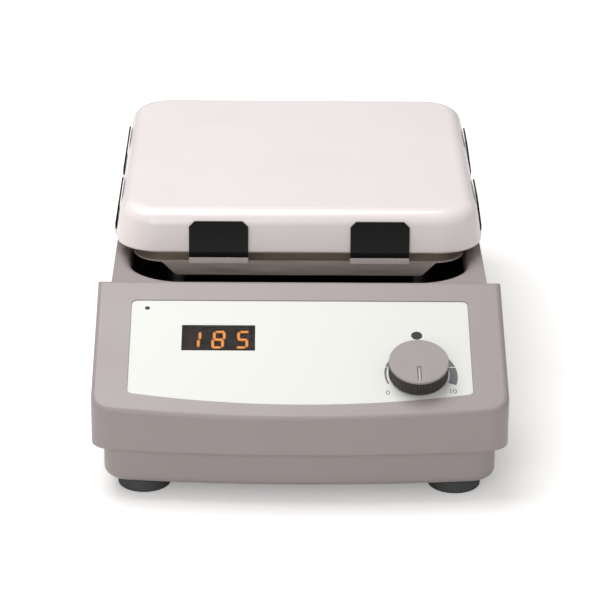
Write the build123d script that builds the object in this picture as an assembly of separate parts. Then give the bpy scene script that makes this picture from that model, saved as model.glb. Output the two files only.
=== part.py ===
from build123d import *
from math import atan, cos, pi, radians, sin, sqrt, tan
import os

# Digital hotplate: a 7-inch heated plate held by clips on a low wedge-fronted housing.
# Millimetres. +Z is up, the control panel faces -Y, +X is the viewer's right.
# The origin is on the bench, under the middle of the whole object.

# Overall size
width = 215.0
depth = 360.0
height = 112.0
foot_height = 8.0

# Housing
wall = 3.0
deck_drop = 29.3
pan_offset = 24.7
skirt_height = 20.6
base_side_setback = 5.8
body_side_setback = 6.5
base_setback = 5.0
base_edge_radius = 4.5
base_corner_radius = 14.0
crest_setback = 91.2
crest_step = 4.583069
head_corner_radius = 11.0
bow_radius = 840.0
head_edge_radius = 3.0
hood_back_length = 6.0
screw_post_radius = 4.5
screw_post_height = 18.0
screw_post_bite = 1.0
screw_bite = 12.0
screw_radius = 2.0
screw_clearance = 0.1
housing_screw_head_radius = 3.6
housing_screw_head_depth = 4.0
running_gap = 0.3
slide_gap = 0.05
cut_length = 24.0

# Well under the plate
well_side_margin = 9.0
well_front_setback = 105.5
well_rear_setback = 31.5
well_corner_radius = 30.0
well_lip_depth = 12.0
well_lip_radius = 5.5
liner_sheet = 1.2
liner_depth = 21.0
liner_flange = 2.6

# Heated plate
plate_side_overhang = 9.2
plate_end_margin = 10.3
plate_offset = 11.5
plate_rim_lift = 6.4
plate_corner_radius = 25.0
plate_draft_degrees = 9.0
plate_top_radius = 9.0
plate_wall = 4.0
cover_rim_radius = 1.2

# Heat shield tray under the plate
tray_side_inset = 10.2
tray_end_inset = 3.2
tray_lift = 1.0
tray_corner_radius = 17.0
tray_sheet = 1.0
apron_depth = 7.6
apron_corner_radius = 4.0
apron_end_setback = 16.0
apron_end_slant = 7.5
side_apron_margin = 7.0
tray_post_radius = 5.0
tray_post_inset = 33.2

# Heater stack
insulation_inset = 19.2
heater_base_inset = 21.2
seat_gap = 0.3
coil_wire_radius = 2.6
coil_pitch = 15.0
coil_end_margin = 5.0
coil_side_margin = 12.0
heater_base_thickness = 4.0
probe_radius = 2.5
probe_collar_radius = 5.0
probe_collar_height = 2.0
probe_collar_lift = 8.0
probe_spring_radius = 3.9
spring_wire_radius = 0.5
spring_turns = 4

# Plate clips
clip_half_width = 16.1
clip_spacing_share = 0.868577
clip_top_drop = 5.0
clip_sheet = 1.0
clip_corner_cut = 3.0
clip_foot_length = 17.0
clip_screw_radius = 1.6
clip_screw_head_radius = 2.9
clip_screw_head_height = 1.6
clip_screw_inset = 13.4
clip_screw_grip = 3.0

# Front panel
panel_side_margin = 18.6
panel_top_margin = 14.078537
panel_bottom = 9.8
panel_bottom_bow_radius = 510.0
panel_corner_radius = 3.0
panel_sheet = 1.0
panel_recess = 1.5
panel_gap = 0.15

# Display
display_side_setback = 46.2
display_drop = 27.2
display_width = 38.2
display_height = 18.2
module_width = 37.7
module_height = 19.0
module_face_drop = 2.0
digit_count = 3
digit_pitch = 12.7
digit_height = 12.7
digit_width = 6.6
digit_slant_degrees = 8.0
segment_width = 1.4
segment_gap = 0.25
segment_thickness = 0.2

# Lamps
heat_lamp_shift = 0.2
heat_lamp_drop = 25.0
power_lamp_side_setback = 8.4
power_lamp_drop = 5.6
heat_lamp_radius = 2.8
power_lamp_radius = 1.2
lamp_stem_inset = 0.4

# Knob and its push encoder
knob_side_setback = 27.9
knob_v = 31.6
knob_radius = 15.5
knob_top = 9.6
knob_wall = 2.4
knob_rib_count = 60
knob_rib_depth = 0.55
knob_rim_height = 1.1
pointer_length = 10.5
pointer_width = 2.2
pointer_groove_depth = 0.5
hub_radius = 5.4
shaft_radius = 3.0
shaft_flat = 1.5
press_travel = 0.5
bushing_radius = 3.5
bushing_top = 3.2
nut_across_flats = 10.0
nut_height = 2.0
washer_radius = 5.8
washer_height = 0.5
encoder_half = 6.0
encoder_plunger_radius = 2.4
encoder_plunger_height = 1.5
shaft_sink = 5.0

# Control board behind the panel
board_sheet = 1.6
board_drop = 10.0
board_side_margin = 4.9
board_bottom_margin = 4.2
board_top_margin = 1.2
board_post_radius = 3.0
board_post_inset = 5.0
board_post_side_inset = 12.0
board_screw_head_radius = 2.6
board_screw_radius = 1.2
board_screw_length = 5.0

# Power electronics on the base floor
power_board_width = 120.0
power_board_length = 70.0
power_board_setback = 85.0
power_board_lift = 6.0
transformer_width = 34.0
transformer_length = 28.0
transformer_height = 24.0
transformer_x = -38.0
capacitor_radius = 6.0
capacitor_height = 16.0
capacitor_rim_radius = 0.75
capacitor_x = 0.0
heatsink_width = 40.0
heatsink_length = 24.0
heatsink_height = 20.0
heatsink_x = 36.0
heatsink_fins = 7
fin_thickness = 1.4
terminal_width = 30.0
terminal_length = 10.0
terminal_height = 12.0
terminal_ways = 5
terminal_hole_radius = 2.0
terminal_hole_depth = 4.0
terminal_row = 25.0

# Vent slots in the base floor
vent_rows = 5
vent_setback = 68.0
vent_side_margin = 56.7
vent_pitch = 8.0
vent_width = 3.0

# Feet
foot_radius = 14.0
foot_rim_radius = 1.0
foot_side_inset = 20.7
foot_front_inset = 28.0
foot_rear_inset = 32.0
foot_top_radius = 12.6
foot_screw_radius = 2.0
foot_screw_head_radius = 4.0
foot_screw_head_height = 2.4
foot_recess_depth = 4.0
foot_screw_length = 8.0

# Rear panel and mains inlet
rear_panel_side_margin = 36.0
rear_panel_clearance = 1.0
fitting_drop = 0.7
fitting_side_inset = 31.0
rear_panel_sheet = 2.0
rear_panel_lap = 3.0
inlet_flange_width = 32.0
inlet_flange_height = 32.0
inlet_flange_sheet = 2.2
inlet_mouth_width = 24.4
inlet_mouth_height = 16.4
inlet_mouth_corner = 4.5
inlet_mouth_drop = 5.8
inlet_body_inset = 1.6
inlet_depth = 17.0
inlet_back = 4.0
pin_width = 2.0
pin_height = 4.0
pin_length = 12.0
pin_spacing = 14.0
earth_pin_rise = 3.5
live_pin_drop = 1.5
fuse_drawer_width = 24.0
fuse_drawer_height = 8.0
fuse_drawer_depth = 13.0
fuse_drawer_rise = 9.5
fuse_drawer_face = 2.0
fuse_radius = 2.6
fuse_length = 20.0

# Mains switch
switch_body_width = 14.0
switch_body_height = 20.0
switch_body_depth = 16.0
switch_bezel = 2.0
switch_bezel_sheet = 1.2
rocker_width = 9.6
rocker_radius = 7.2
rocker_pin_radius = 1.0
rocker_gap = 0.35
rocker_proud = 1.4
rocker_rise = 0.8
rocker_swing_degrees = 16.0

# Support rod socket
rod_socket_side_inset = 23.0
rod_socket_rear_inset = 17.0
rod_socket_radius = 10.0
rod_thread_radius = 4.25
rod_socket_depth = 22.0
rod_collar_height = 1.5
rod_collar_radius = 12.0

# Worked-out places
front_y = -depth / 2
rear_y = depth / 2
deck_height = height - deck_drop
base_top = (deck_height - pan_offset) / 2
skirt_top = base_top + skirt_height
head_half_width = width / 2
base_half_width = head_half_width - base_side_setback
body_half_width = head_half_width - body_side_setback
base_front_y = front_y + base_setback
body_rear_y = rear_y - (base_half_width - body_half_width)
crest_y = front_y + crest_setback
crest_height = deck_height + crest_step
slope = atan((crest_height - skirt_top) / crest_setback)
head_rear_y = crest_y + hood_back_length
well_half_width = body_half_width - well_side_margin
well_front_y = front_y + well_front_setback
well_length = depth - well_front_setback - well_rear_setback
well_centre_y = well_front_y + well_length / 2
liner_underside = deck_height - well_lip_depth - liner_depth
liner_floor = liner_underside + liner_sheet
plate_half = well_half_width + plate_side_overhang
plate_half_length = well_length / 2 - plate_end_margin
plate_centre_y = well_centre_y + plate_offset
plate_rim_height = deck_height + plate_rim_lift
tray_half_width = plate_half - tray_side_inset
tray_half_length = plate_half_length - tray_end_inset
tray_top = deck_height + tray_lift
heater_base_half = plate_half - heater_base_inset
heater_base_half_length = plate_half_length - heater_base_inset
coil_runs = 2 * round((heater_base_half_length - coil_end_margin) / coil_pitch)
clip_top = height - clip_top_drop
panel_half_width = head_half_width - panel_side_margin
panel_top = crest_setback / cos(slope) - panel_top_margin
display_centre_u = display_side_setback - panel_half_width
display_centre_v = panel_top - display_drop
knob_u = panel_half_width - knob_side_setback
heat_lamp_u = knob_u + heat_lamp_shift
heat_lamp_v = panel_top - heat_lamp_drop
power_lamp_u = power_lamp_side_setback - panel_half_width
power_lamp_v = panel_top - power_lamp_drop
board_half_width = panel_half_width - board_side_margin
board_bottom = panel_bottom + board_bottom_margin
board_top = panel_top - board_top_margin
board_post_u = board_half_width - board_post_side_inset
board_surface = -board_drop
panel_surface = panel_sheet - panel_recess
panel_plane = Plane(origin=(0, front_y, skirt_top), x_dir=(1, 0, 0), z_dir=(0, -sin(slope), cos(slope)))
power_board_centre_y = front_y + power_board_setback
vent_first_y = rear_y - vent_setback
vent_length = 2 * (base_half_width - vent_side_margin)
foot_x = base_half_width - foot_side_inset
foot_front_y = front_y + foot_front_inset
foot_rear_y = rear_y - foot_rear_inset
rear_panel_width = 2 * (body_half_width - rear_panel_side_margin)
rear_panel_height = inlet_flange_height + 2 * (rear_panel_lap + rear_panel_clearance)
fitting_x = rear_panel_width / 2 - fitting_side_inset
fitting_z = (base_top + deck_height - wall - fitting_drop) / 2
rear_panel_bottom = fitting_z - rear_panel_height / 2
inlet_body_width = inlet_flange_width - 2 * inlet_body_inset
inlet_body_height = inlet_flange_height - 2 * inlet_body_inset + slide_gap
rod_socket_x = body_half_width - rod_socket_side_inset
rod_socket_y = rear_y - rod_socket_rear_inset


def at_panel(u, v, w):
    """A place on the sloping panel: u to the right, v up the slope, w out of the surface."""
    return panel_plane.location * Pos(u, v, w)


def slab(face, bottom, top):
    """A flat outline raised from one height to another."""
    return extrude(Pos(0, 0, bottom) * face, amount=top - bottom, dir=(0, 0, 1))


def rod(radius, bottom, top):
    """An upright cylinder between two heights."""
    return Pos(0, 0, (bottom + top) / 2) * Cylinder(radius, top - bottom)


def block(x_size, y_size, bottom, top):
    """An upright box between two heights, centred on its own axis."""
    return Pos(0, 0, (bottom + top) / 2) * Box(x_size, y_size, top - bottom)


def bowed_outline(half_width, near_y, far_y, near_radius, far_radius):
    """The plan outline of the housing: a gently bowed front and straight sides."""
    bow = bow_radius - sqrt(bow_radius**2 - half_width**2)
    left = (-half_width, near_y + bow)
    right = (half_width, near_y + bow)
    front = ThreePointArc(left, (0, near_y), right)
    rest = Polyline(right, (half_width, far_y), (-half_width, far_y), left)
    face = make_face(front + rest)
    corners = face.vertices().sort_by(Axis.Y)
    face = fillet(corners[:2], near_radius)
    if far_radius > 0:
        face = fillet(face.vertices().sort_by(Axis.Y)[-2:], far_radius)
    return face


def side_profile(points):
    """A closed side view in Y and Z, as wide as the housing and more."""
    face = make_face(Polyline(*[(0, y, z) for y, z in points], close=True))
    return extrude(face, amount=width, dir=(1, 0, 0), both=True)


def head_solid(inset, floor, drop):
    """The wedge of the control head, drawn in by a wall when inset is above zero."""
    outline = bowed_outline(
        head_half_width - inset, front_y + inset, head_rear_y - inset, head_corner_radius - inset, 0
    )
    slope_drop = drop / cos(slope)
    top = crest_height - slope_drop
    wedge = side_profile(
        [
            (front_y, floor),
            (front_y, skirt_top - slope_drop),
            (crest_y, top),
            (head_rear_y, top - (crest_height - deck_height) + slope_drop - drop),
            (head_rear_y, floor),
        ]
    )
    return slab(outline, floor, crest_height) & wedge


def well_outline(grow):
    """The rounded opening over the well, grown by a wall where asked."""
    shape = RectangleRounded(
        2 * (well_half_width + grow), well_length + 2 * grow, well_corner_radius + grow
    )
    return Pos(0, well_centre_y) * shape


def body_solid(inset, floor, top):
    """The straight rear part of the upper housing."""
    outline = make_face(
        Polyline(
            (-body_half_width + inset, crest_y - wall),
            (body_half_width - inset, crest_y - wall),
            (body_half_width - inset, body_rear_y - inset),
            (-body_half_width + inset, body_rear_y - inset),
            close=True,
        )
    )
    rear_corners = outline.vertices().sort_by(Axis.Y)[-2:]
    return slab(fillet(rear_corners, base_corner_radius - inset), floor, top)


def panel_outline(grow):
    """The front panel's outline, with its lower edge bowed like the housing's front."""
    half = panel_half_width + grow
    bow = panel_bottom_bow_radius - sqrt(panel_bottom_bow_radius**2 - half**2)
    left = (-half, panel_bottom - grow + bow)
    right = (half, panel_bottom - grow + bow)
    lower = ThreePointArc(left, (0, panel_bottom - grow), right)
    rest = Polyline(right, (half, panel_top + grow), (-half, panel_top + grow), left)
    face = make_face(lower + rest)
    return fillet(face.vertices(), panel_corner_radius + grow)


def board_post_places():
    """The four screw points of the control board, in panel measures."""
    rows = (board_bottom + board_post_inset, board_top - board_post_inset)
    return [(side * board_post_u, v) for side in (-1, 1) for v in rows]


def plate_post_places():
    """The four posts that carry the heat shield tray."""
    spots = [(-1, -1), (1, -1), (1, 1), (-1, 1)]
    x = plate_half - tray_post_inset
    y = plate_half_length - tray_post_inset
    return [(sx * x, plate_centre_y + sy * y) for sx, sy in spots]


def housing_post_places():
    """The four screws that hold the two halves of the housing together."""
    x = body_half_width - wall - screw_post_radius + screw_post_bite
    front_row = well_front_y - wall - screw_post_radius
    rear_row = body_rear_y - wall - base_corner_radius
    rows = (front_row, rear_row)
    return [(side * x, y) for side in (-1, 1) for y in rows]


def foot_places():
    """The four feet."""
    return [(side * foot_x, y) for side in (-1, 1) for y in (foot_front_y, foot_rear_y)]


def on_well_edge(point):
    """Whether a point of the deck lies on the rim of the well."""
    inside_x = abs(point.X) < well_half_width + slide_gap
    inside_y = abs(point.Y - well_centre_y) < well_length / 2 + slide_gap
    return inside_x and inside_y


def make_upper_housing():
    """The grey upper moulding: control head, deck, well opening and rear wall."""
    head = head_solid(0, base_top, 0)
    slope_face = head.faces().sort_by(Axis.Z)[-2:]
    slope_face = [f for f in slope_face if abs(f.normal_at().Y + sin(slope)) < sin(slope) / 10]
    head = fillet(slope_face[0].edges(), head_edge_radius)
    shell = head + body_solid(0, base_top, deck_height)
    shell = shell - head_solid(wall, base_top + wall, wall)
    shell = shell - body_solid(wall, base_top - wall, deck_height - wall)
    opening = bowed_outline(
        base_half_width - wall, base_front_y + wall, crest_y, base_corner_radius - wall, 0
    )
    shell = shell - slab(opening, base_top - wall, base_top + 2 * wall)
    lip = slab(well_outline(wall), deck_height - well_lip_depth, deck_height - wall)
    shell = shell + lip
    shell = shell - slab(well_outline(0), deck_height - 2 * well_lip_depth, crest_height)
    deck_edges = shell.edges().filter_by_position(Axis.Z, deck_height - slide_gap, deck_height + slide_gap)
    mouth = [e for e in deck_edges if on_well_edge(e.center())]
    shell = fillet(mouth, well_lip_radius)
    shell = shell - panel_plane.location * extrude(panel_outline(panel_gap), amount=-panel_recess)
    window = Box(display_width + 2 * panel_gap, module_height + 2 * panel_gap, cut_length)
    shell = shell - at_panel(display_centre_u, display_centre_v, 0) * window
    for u, v, radius in lamp_places():
        shell = shell - at_panel(u, v, 0) * Cylinder(radius - lamp_stem_inset + panel_gap, cut_length)
    shell = shell - at_panel(knob_u, knob_v, 0) * Cylinder(bushing_radius + slide_gap, cut_length)
    for u, v in board_post_places():
        post_length = board_drop - wall
        shell = shell + at_panel(u, v, -wall - post_length / 2) * Cylinder(board_post_radius, post_length)
        bore = Cylinder(board_screw_radius + slide_gap, 2 * board_screw_length)
        shell = shell - at_panel(u, v, -board_drop) * bore
    for x, y in housing_post_places():
        post = Pos(x, y) * rod(screw_post_radius, base_top, base_top + screw_post_height)
        bore = Pos(x, y) * rod(screw_radius + screw_clearance, base_top, base_top + screw_bite)
        shell = shell + post - bore
    shell = shell + Pos(rod_socket_x, rod_socket_y) * rod(
        rod_collar_radius, deck_height - wall - rod_collar_height, deck_height - wall
    )
    shell = shell - Pos(rod_socket_x, rod_socket_y) * rod(
        rod_socket_radius + slide_gap, deck_height - 2 * wall, deck_height
    )
    rear_window = Box(
        rear_panel_width - 2 * rear_panel_lap, cut_length, rear_panel_height - 2 * rear_panel_lap
    )
    shell = shell - Pos(0, body_rear_y, rear_panel_bottom + rear_panel_height / 2) * rear_window
    return shell


def make_lower_housing():
    """The base pan: floor, walls, screw posts, tray posts, board posts and vent slots."""
    outline = bowed_outline(
        base_half_width, base_front_y, rear_y, base_corner_radius, base_corner_radius
    )
    inside = bowed_outline(
        base_half_width - wall,
        base_front_y + wall,
        rear_y - wall,
        base_corner_radius - wall,
        base_corner_radius - wall,
    )
    floor = foot_height + wall
    pan = slab(outline, foot_height, base_top)
    pan = fillet(pan.faces().sort_by(Axis.Z)[0].edges(), base_edge_radius)
    pan = pan - slab(inside, floor, base_top)
    for x, y in housing_post_places():
        pan = pan + Pos(x, y) * rod(screw_post_radius, floor, base_top)
        pan = pan - Pos(x, y) * rod(screw_radius + screw_clearance, foot_height, base_top)
        head_bore = rod(
            housing_screw_head_radius + screw_clearance,
            foot_height,
            foot_height + housing_screw_head_depth,
        )
        pan = pan - Pos(x, y) * head_bore
    for x, y in plate_post_places():
        pan = pan + Pos(x, y) * Cone(
            tray_post_radius + wall,
            tray_post_radius + wall / 2,
            liner_underside - floor,
            align=(Align.CENTER, Align.CENTER, Align.MIN),
        ).moved(Pos(0, 0, floor))
    for x, y in foot_places():
        pan = pan + Pos(x, y) * rod(screw_post_radius, floor, floor + foot_screw_length)
        bore = rod(foot_screw_radius + screw_clearance, foot_height, floor + foot_screw_length - wall)
        pan = pan - Pos(x, y) * bore
    for x, y in power_board_posts():
        pan = pan + Pos(x, y) * rod(board_post_radius, floor, floor + power_board_lift)
        bore = rod(board_screw_radius + slide_gap, floor + slide_gap, floor + power_board_lift)
        pan = pan - Pos(x, y) * bore
    for row in range(vent_rows):
        y = vent_first_y + row * vent_pitch
        slot = Pos(0, y) * slab(SlotOverall(vent_length, vent_width), foot_height, floor)
        pan = pan - slot
    return pan


def lamp_places():
    """The two indicator lamps of the panel."""
    return [
        (heat_lamp_u, heat_lamp_v, heat_lamp_radius),
        (power_lamp_u, power_lamp_v, power_lamp_radius),
    ]


def power_board_posts():
    """The four screw points of the power board."""
    x = power_board_width / 2 - board_post_inset
    y = power_board_length / 2 - board_post_inset
    return [(sx * x, power_board_centre_y + sy * y) for sx in (-1, 1) for sy in (-1, 1)]


def make_housing_screws():
    """The four long screws that close the housing from below."""
    seat = foot_height + housing_screw_head_depth
    group = []
    for x, y in housing_post_places():
        head = rod(housing_screw_head_radius, seat - housing_screw_head_depth / 2, seat)
        shank = rod(screw_radius, seat, base_top + screw_bite - running_gap)
        group.append(Pos(x, y) * (head + shank))
    return group


def make_foot(x, y):
    """A round rubber foot, tapered upwards, with a recess that hides its screw."""
    body = Pos(x, y) * Cone(
        foot_radius, foot_top_radius, foot_height, align=(Align.CENTER, Align.CENTER, Align.MIN)
    )
    rim = body.faces().sort_by(Axis.Z)[0].edges()
    body = fillet(rim, foot_rim_radius)
    body = body - Pos(x, y) * rod(foot_screw_head_radius + running_gap, 0, foot_recess_depth)
    return body - Pos(x, y) * rod(foot_screw_radius + screw_clearance, 0, foot_height)


def make_foot_screws():
    """The screw of each foot, with its head up in the recess."""
    group = []
    for x, y in foot_places():
        head = rod(
            foot_screw_head_radius, foot_recess_depth - foot_screw_head_height, foot_recess_depth
        )
        shank = rod(foot_screw_radius, foot_recess_depth, foot_height + foot_screw_length)
        group.append(Pos(x, y) * (head + shank))
    return group


def make_front_panel():
    """The white overlay that fills the recess of the slope."""
    sheet = extrude(panel_outline(0), amount=panel_sheet)
    opening = Box(display_width + 2 * panel_gap, display_height + 2 * panel_gap, cut_length)
    sheet = sheet - Pos(display_centre_u, display_centre_v) * opening
    for u, v, radius in lamp_places():
        sheet = sheet - Pos(u, v) * Cylinder(radius + panel_gap, cut_length)
    sheet = sheet - Pos(knob_u, knob_v) * Cylinder(bushing_radius + slide_gap, cut_length)
    return at_panel(0, 0, -panel_recess) * sheet


def make_display_window():
    """The smoked window in front of the digits."""
    pane = Box(display_width, display_height, panel_sheet)
    return at_panel(display_centre_u, display_centre_v, panel_surface - panel_sheet / 2) * pane


def make_display_module():
    """The three-digit module that stands on the control board."""
    top = -module_face_drop
    body = Box(module_width, module_height, board_drop - module_face_drop)
    place = at_panel(display_centre_u, display_centre_v, (top + board_surface) / 2)
    return place * body


def segment_bar(length):
    """One bar of a digit, with pointed ends."""
    half = segment_width / 2
    reach = length / 2
    return Polyline(
        (-reach, 0),
        (-reach + half, half),
        (reach - half, half),
        (reach, 0),
        (reach - half, -half),
        (-reach + half, -half),
        close=True,
    )


def digit_segments(names):
    """The named bars of one upright digit: a top, b and c right, d bottom, e and f left, g middle."""
    across = digit_width - segment_width
    rise = (digit_height - segment_width) / 2
    flat = across - 2 * segment_gap
    tall = rise - 2 * segment_gap
    places = {
        "a": (0, rise, 0, flat),
        "b": (across / 2, rise / 2, 90, tall),
        "c": (across / 2, -rise / 2, 90, tall),
        "d": (0, -rise, 0, flat),
        "e": (-across / 2, -rise / 2, 90, tall),
        "f": (-across / 2, rise / 2, 90, tall),
        "g": (0, 0, 0, flat),
    }
    bars = []
    for name in names:
        x, y, turn, length = places[name]
        face = make_face(segment_bar(length))
        bars.append(Pos(x, y) * Rot(0, 0, turn) * face)
    return bars


def make_segments(shown):
    """The bars of all digits that are in the given list of names."""
    base = -module_face_drop
    group = []
    for index in range(digit_count):
        u = display_centre_u + (index - (digit_count - 1) / 2) * digit_pitch
        for face in digit_segments(shown[index]):
            middle = face.center()
            leaned = Pos(middle.Y * tan(radians(digit_slant_degrees)), 0) * face
            bar = extrude(leaned, amount=segment_thickness, dir=(0, 0, 1))
            group.append(at_panel(u, display_centre_v, base) * bar)
    return group


def make_lamp(u, v, radius):
    """A lamp that stands on the control board and shows through the panel."""
    stem_top = -panel_recess
    stem = Cylinder(radius - lamp_stem_inset, stem_top - board_surface)
    head = Cylinder(radius, panel_sheet + slide_gap)
    stem = at_panel(u, v, (stem_top + board_surface) / 2) * stem
    head = at_panel(u, v, stem_top + (panel_sheet + slide_gap) / 2) * head
    return stem + head


def make_control_board():
    """The board under the panel, carried by four posts of the upper housing."""
    tall = board_top - board_bottom
    board = Box(2 * board_half_width, tall, board_sheet)
    board = at_panel(0, board_bottom + tall / 2, board_surface - board_sheet / 2) * board
    for u, v in board_post_places():
        board = board - at_panel(u, v, board_surface) * Cylinder(board_screw_radius + slide_gap, cut_length)
    return board


def make_board_screws():
    """The four screws of the control board."""
    under = board_surface - board_sheet
    group = []
    for u, v in board_post_places():
        head = at_panel(u, v, under - board_sheet / 2) * Cylinder(board_screw_head_radius, board_sheet)
        length = board_screw_length + board_sheet - running_gap
        shank = at_panel(u, v, under + length / 2) * Cylinder(board_screw_radius, length)
        group.append(head + shank)
    return group


def make_encoder_housing():
    """The square body of the push encoder, standing on the control board."""
    top = -wall
    body = Box(2 * encoder_half, 2 * encoder_half, top - board_surface)
    body = at_panel(knob_u, knob_v, (top + board_surface) / 2) * body
    bore = Cylinder(shaft_radius + slide_gap, 2 * shaft_sink)
    return body - at_panel(knob_u, knob_v, top) * bore


def make_encoder_bushing():
    """The threaded neck that passes through the panel."""
    length = bushing_top + wall
    tube = Cylinder(bushing_radius, length) - Cylinder(shaft_radius + slide_gap, length)
    return at_panel(knob_u, knob_v, (bushing_top - wall) / 2) * tube


def make_encoder_washer():
    """The washer under the nut."""
    ring = Cylinder(washer_radius, washer_height) - Cylinder(bushing_radius + slide_gap, washer_height)
    return at_panel(knob_u, knob_v, panel_surface + washer_height / 2) * ring


def make_encoder_nut():
    """The nut that holds the encoder to the panel."""
    outline = RegularPolygon(nut_across_flats / 2, 6, major_radius=False)
    nut = extrude(outline, amount=nut_height) - Cylinder(bushing_radius + slide_gap, cut_length)
    return at_panel(knob_u, knob_v, panel_surface + washer_height) * nut


def make_encoder_plunger():
    """The small actuator that moves only along the shaft and makes the switch click."""
    top = -wall - shaft_sink + press_travel + 2 * slide_gap + encoder_plunger_height
    low = top - encoder_plunger_height
    disc = Cylinder(encoder_plunger_radius, encoder_plunger_height)
    return at_panel(knob_u, knob_v, (top + low) / 2) * disc


def make_encoder_shaft():
    """The shaft with its flat, free to turn and to be pressed in the neck."""
    low = -wall - shaft_sink + press_travel + 3 * slide_gap + encoder_plunger_height
    top = knob_top - knob_wall
    body = Cylinder(shaft_radius, top - low)
    cut = Pos(2 * shaft_radius - shaft_flat, 0) * Box(2 * shaft_radius, 2 * shaft_radius, top - hub_bottom())
    body = body - Pos(0, 0, (top - low) / 2 - (top - hub_bottom()) / 2) * cut
    return at_panel(knob_u, knob_v, (top + low) / 2) * body


def hub_bottom():
    """The lower end of the knob's hub, above the neck by the press travel."""
    return bushing_top + press_travel + running_gap


def knob_skirt_bottom():
    """The lower edge of the knob, above the panel by the press travel."""
    return panel_surface + press_travel + running_gap


def ribbed_outline():
    """The knob's outline: sixty shallow grooves between rounded-off ribs."""
    points = []
    for index in range(2 * knob_rib_count):
        radius = knob_radius if index % 2 == 0 else knob_radius - knob_rib_depth
        angle = pi * index / knob_rib_count
        points.append((radius * cos(angle), radius * sin(angle)))
    return make_face(Polyline(*points, close=True))


def make_control_knob():
    """The knob: a ribbed skirt, a smooth cap with a pointer groove, and a hub with a D bore."""
    low = knob_skirt_bottom()
    rim = knob_top - knob_rim_height
    skirt = Pos(0, 0, low) * extrude(ribbed_outline(), amount=rim - low)
    cap = Pos(0, 0, rim) * extrude(Circle(knob_radius), amount=knob_rim_height)
    cap = fillet(cap.edges().sort_by(Axis.Z)[-1:], knob_rim_height / 2)
    knob = skirt + cap
    cavity_radius = knob_radius - knob_wall
    cavity_top = knob_top - knob_wall
    knob = knob - rod(cavity_radius, low, cavity_top)
    knob = knob + rod(hub_radius, hub_bottom(), cavity_top)
    bore = rod(shaft_radius + slide_gap, hub_bottom(), cavity_top)
    flat = Box(2 * shaft_radius, 2 * shaft_radius, cut_length)
    bore = bore - Pos(2 * shaft_radius - shaft_flat + slide_gap, 0) * flat
    knob = knob - bore
    groove = SlotOverall(pointer_length, pointer_width, rotation=90)
    middle = -(knob_radius - pointer_length / 2) + 2 * pointer_groove_depth + knob_rib_depth
    groove = Pos(0, middle, knob_top) * extrude(groove, amount=-pointer_groove_depth)
    return at_panel(knob_u, knob_v, 0) * (knob - groove)


def make_power_board():
    """The mains board on the floor of the base."""
    low = foot_height + wall + power_board_lift
    board = block(power_board_width, power_board_length, low, low + board_sheet)
    board = Pos(0, power_board_centre_y) * board
    for x, y in power_board_posts():
        board = board - Pos(x, y) * rod(board_screw_radius + slide_gap, low, low + board_sheet)
    return board


def power_board_surface():
    """The upper face of the mains board."""
    return foot_height + wall + power_board_lift + board_sheet


def make_power_board_screws():
    """The four screws of the mains board."""
    top = power_board_surface()
    group = []
    for x, y in power_board_posts():
        head = rod(board_screw_head_radius, top, top + board_sheet)
        shank = rod(board_screw_radius, top - board_screw_length - board_sheet / 2, top)
        group.append(Pos(x, y) * (head + shank))
    return group


def make_transformer():
    """The small transformer: a laminated core with its winding between the legs."""
    low = power_board_surface()
    core = block(transformer_width, transformer_length / 2, low, low + transformer_height)
    winding = block(
        transformer_width * 2 / 3,
        transformer_length,
        low + transformer_height / 6,
        low + transformer_height * 5 / 6,
    )
    winding = fillet(winding.edges().filter_by(Axis.Z), transformer_length / 6)
    return Pos(transformer_x, power_board_centre_y) * (core + winding)


def make_capacitor():
    """The smoothing capacitor."""
    low = power_board_surface()
    can = rod(capacitor_radius, low, low + capacitor_height)
    can = fillet(can.edges().sort_by(Axis.Z)[-1:], capacitor_rim_radius)
    return Pos(capacitor_x, power_board_centre_y) * can


def make_heatsink():
    """The finned heatsink of the power switch."""
    low = power_board_surface()
    sink = block(heatsink_width, heatsink_length, low, low + 2 * fin_thickness)
    pitch = (heatsink_width - fin_thickness) / (heatsink_fins - 1)
    for index in range(heatsink_fins):
        x = -heatsink_width / 2 + fin_thickness / 2 + index * pitch
        fin = block(fin_thickness, heatsink_length, low + 2 * fin_thickness, low + heatsink_height)
        sink = sink + Pos(x, 0) * fin
    return Pos(heatsink_x, power_board_centre_y) * sink


def make_terminal_block():
    """The screw terminal that takes the mains and heater wires."""
    low = power_board_surface()
    strip = block(terminal_width, terminal_length, low, low + terminal_height)
    pitch = terminal_width / terminal_ways
    for index in range(terminal_ways):
        x = (index - (terminal_ways - 1) / 2) * pitch
        well = rod(terminal_hole_radius, low + terminal_height - terminal_hole_depth, low + terminal_height)
        strip = strip - Pos(x, 0) * well
    return Pos(0, power_board_centre_y + terminal_row) * strip


def make_well_liner():
    """The black pressed pan that closes the well under the plate."""
    flange_top = deck_height - well_lip_depth
    flange = slab(well_outline(liner_flange), flange_top - liner_sheet, flange_top)
    pan = slab(well_outline(liner_sheet), liner_underside, flange_top)
    return flange + pan - slab(well_outline(0), liner_floor, flange_top)


def make_tray_post(x, y):
    """One of the steel posts between the liner's floor and the tray."""
    return Pos(x, y) * rod(tray_post_radius, liner_floor, tray_top - tray_sheet)


def make_apron(half_edge):
    """One folded-down edge of the tray, with slanted and rounded ends, at y zero."""
    high = tray_top - tray_sheet
    half_top = half_edge - apron_end_setback
    half_bottom = half_top - apron_end_slant
    outline = make_face(
        Polyline(
            (-half_top, 0, high),
            (half_top, 0, high),
            (half_bottom, 0, high - apron_depth),
            (-half_bottom, 0, high - apron_depth),
            close=True,
        )
    )
    sheet = extrude(outline, amount=tray_sheet, dir=(0, 1, 0))
    ends = [e for e in sheet.edges().filter_by(Axis.Y) if e.center().Z < high - apron_depth / 2]
    return fillet(ends, apron_corner_radius)


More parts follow.
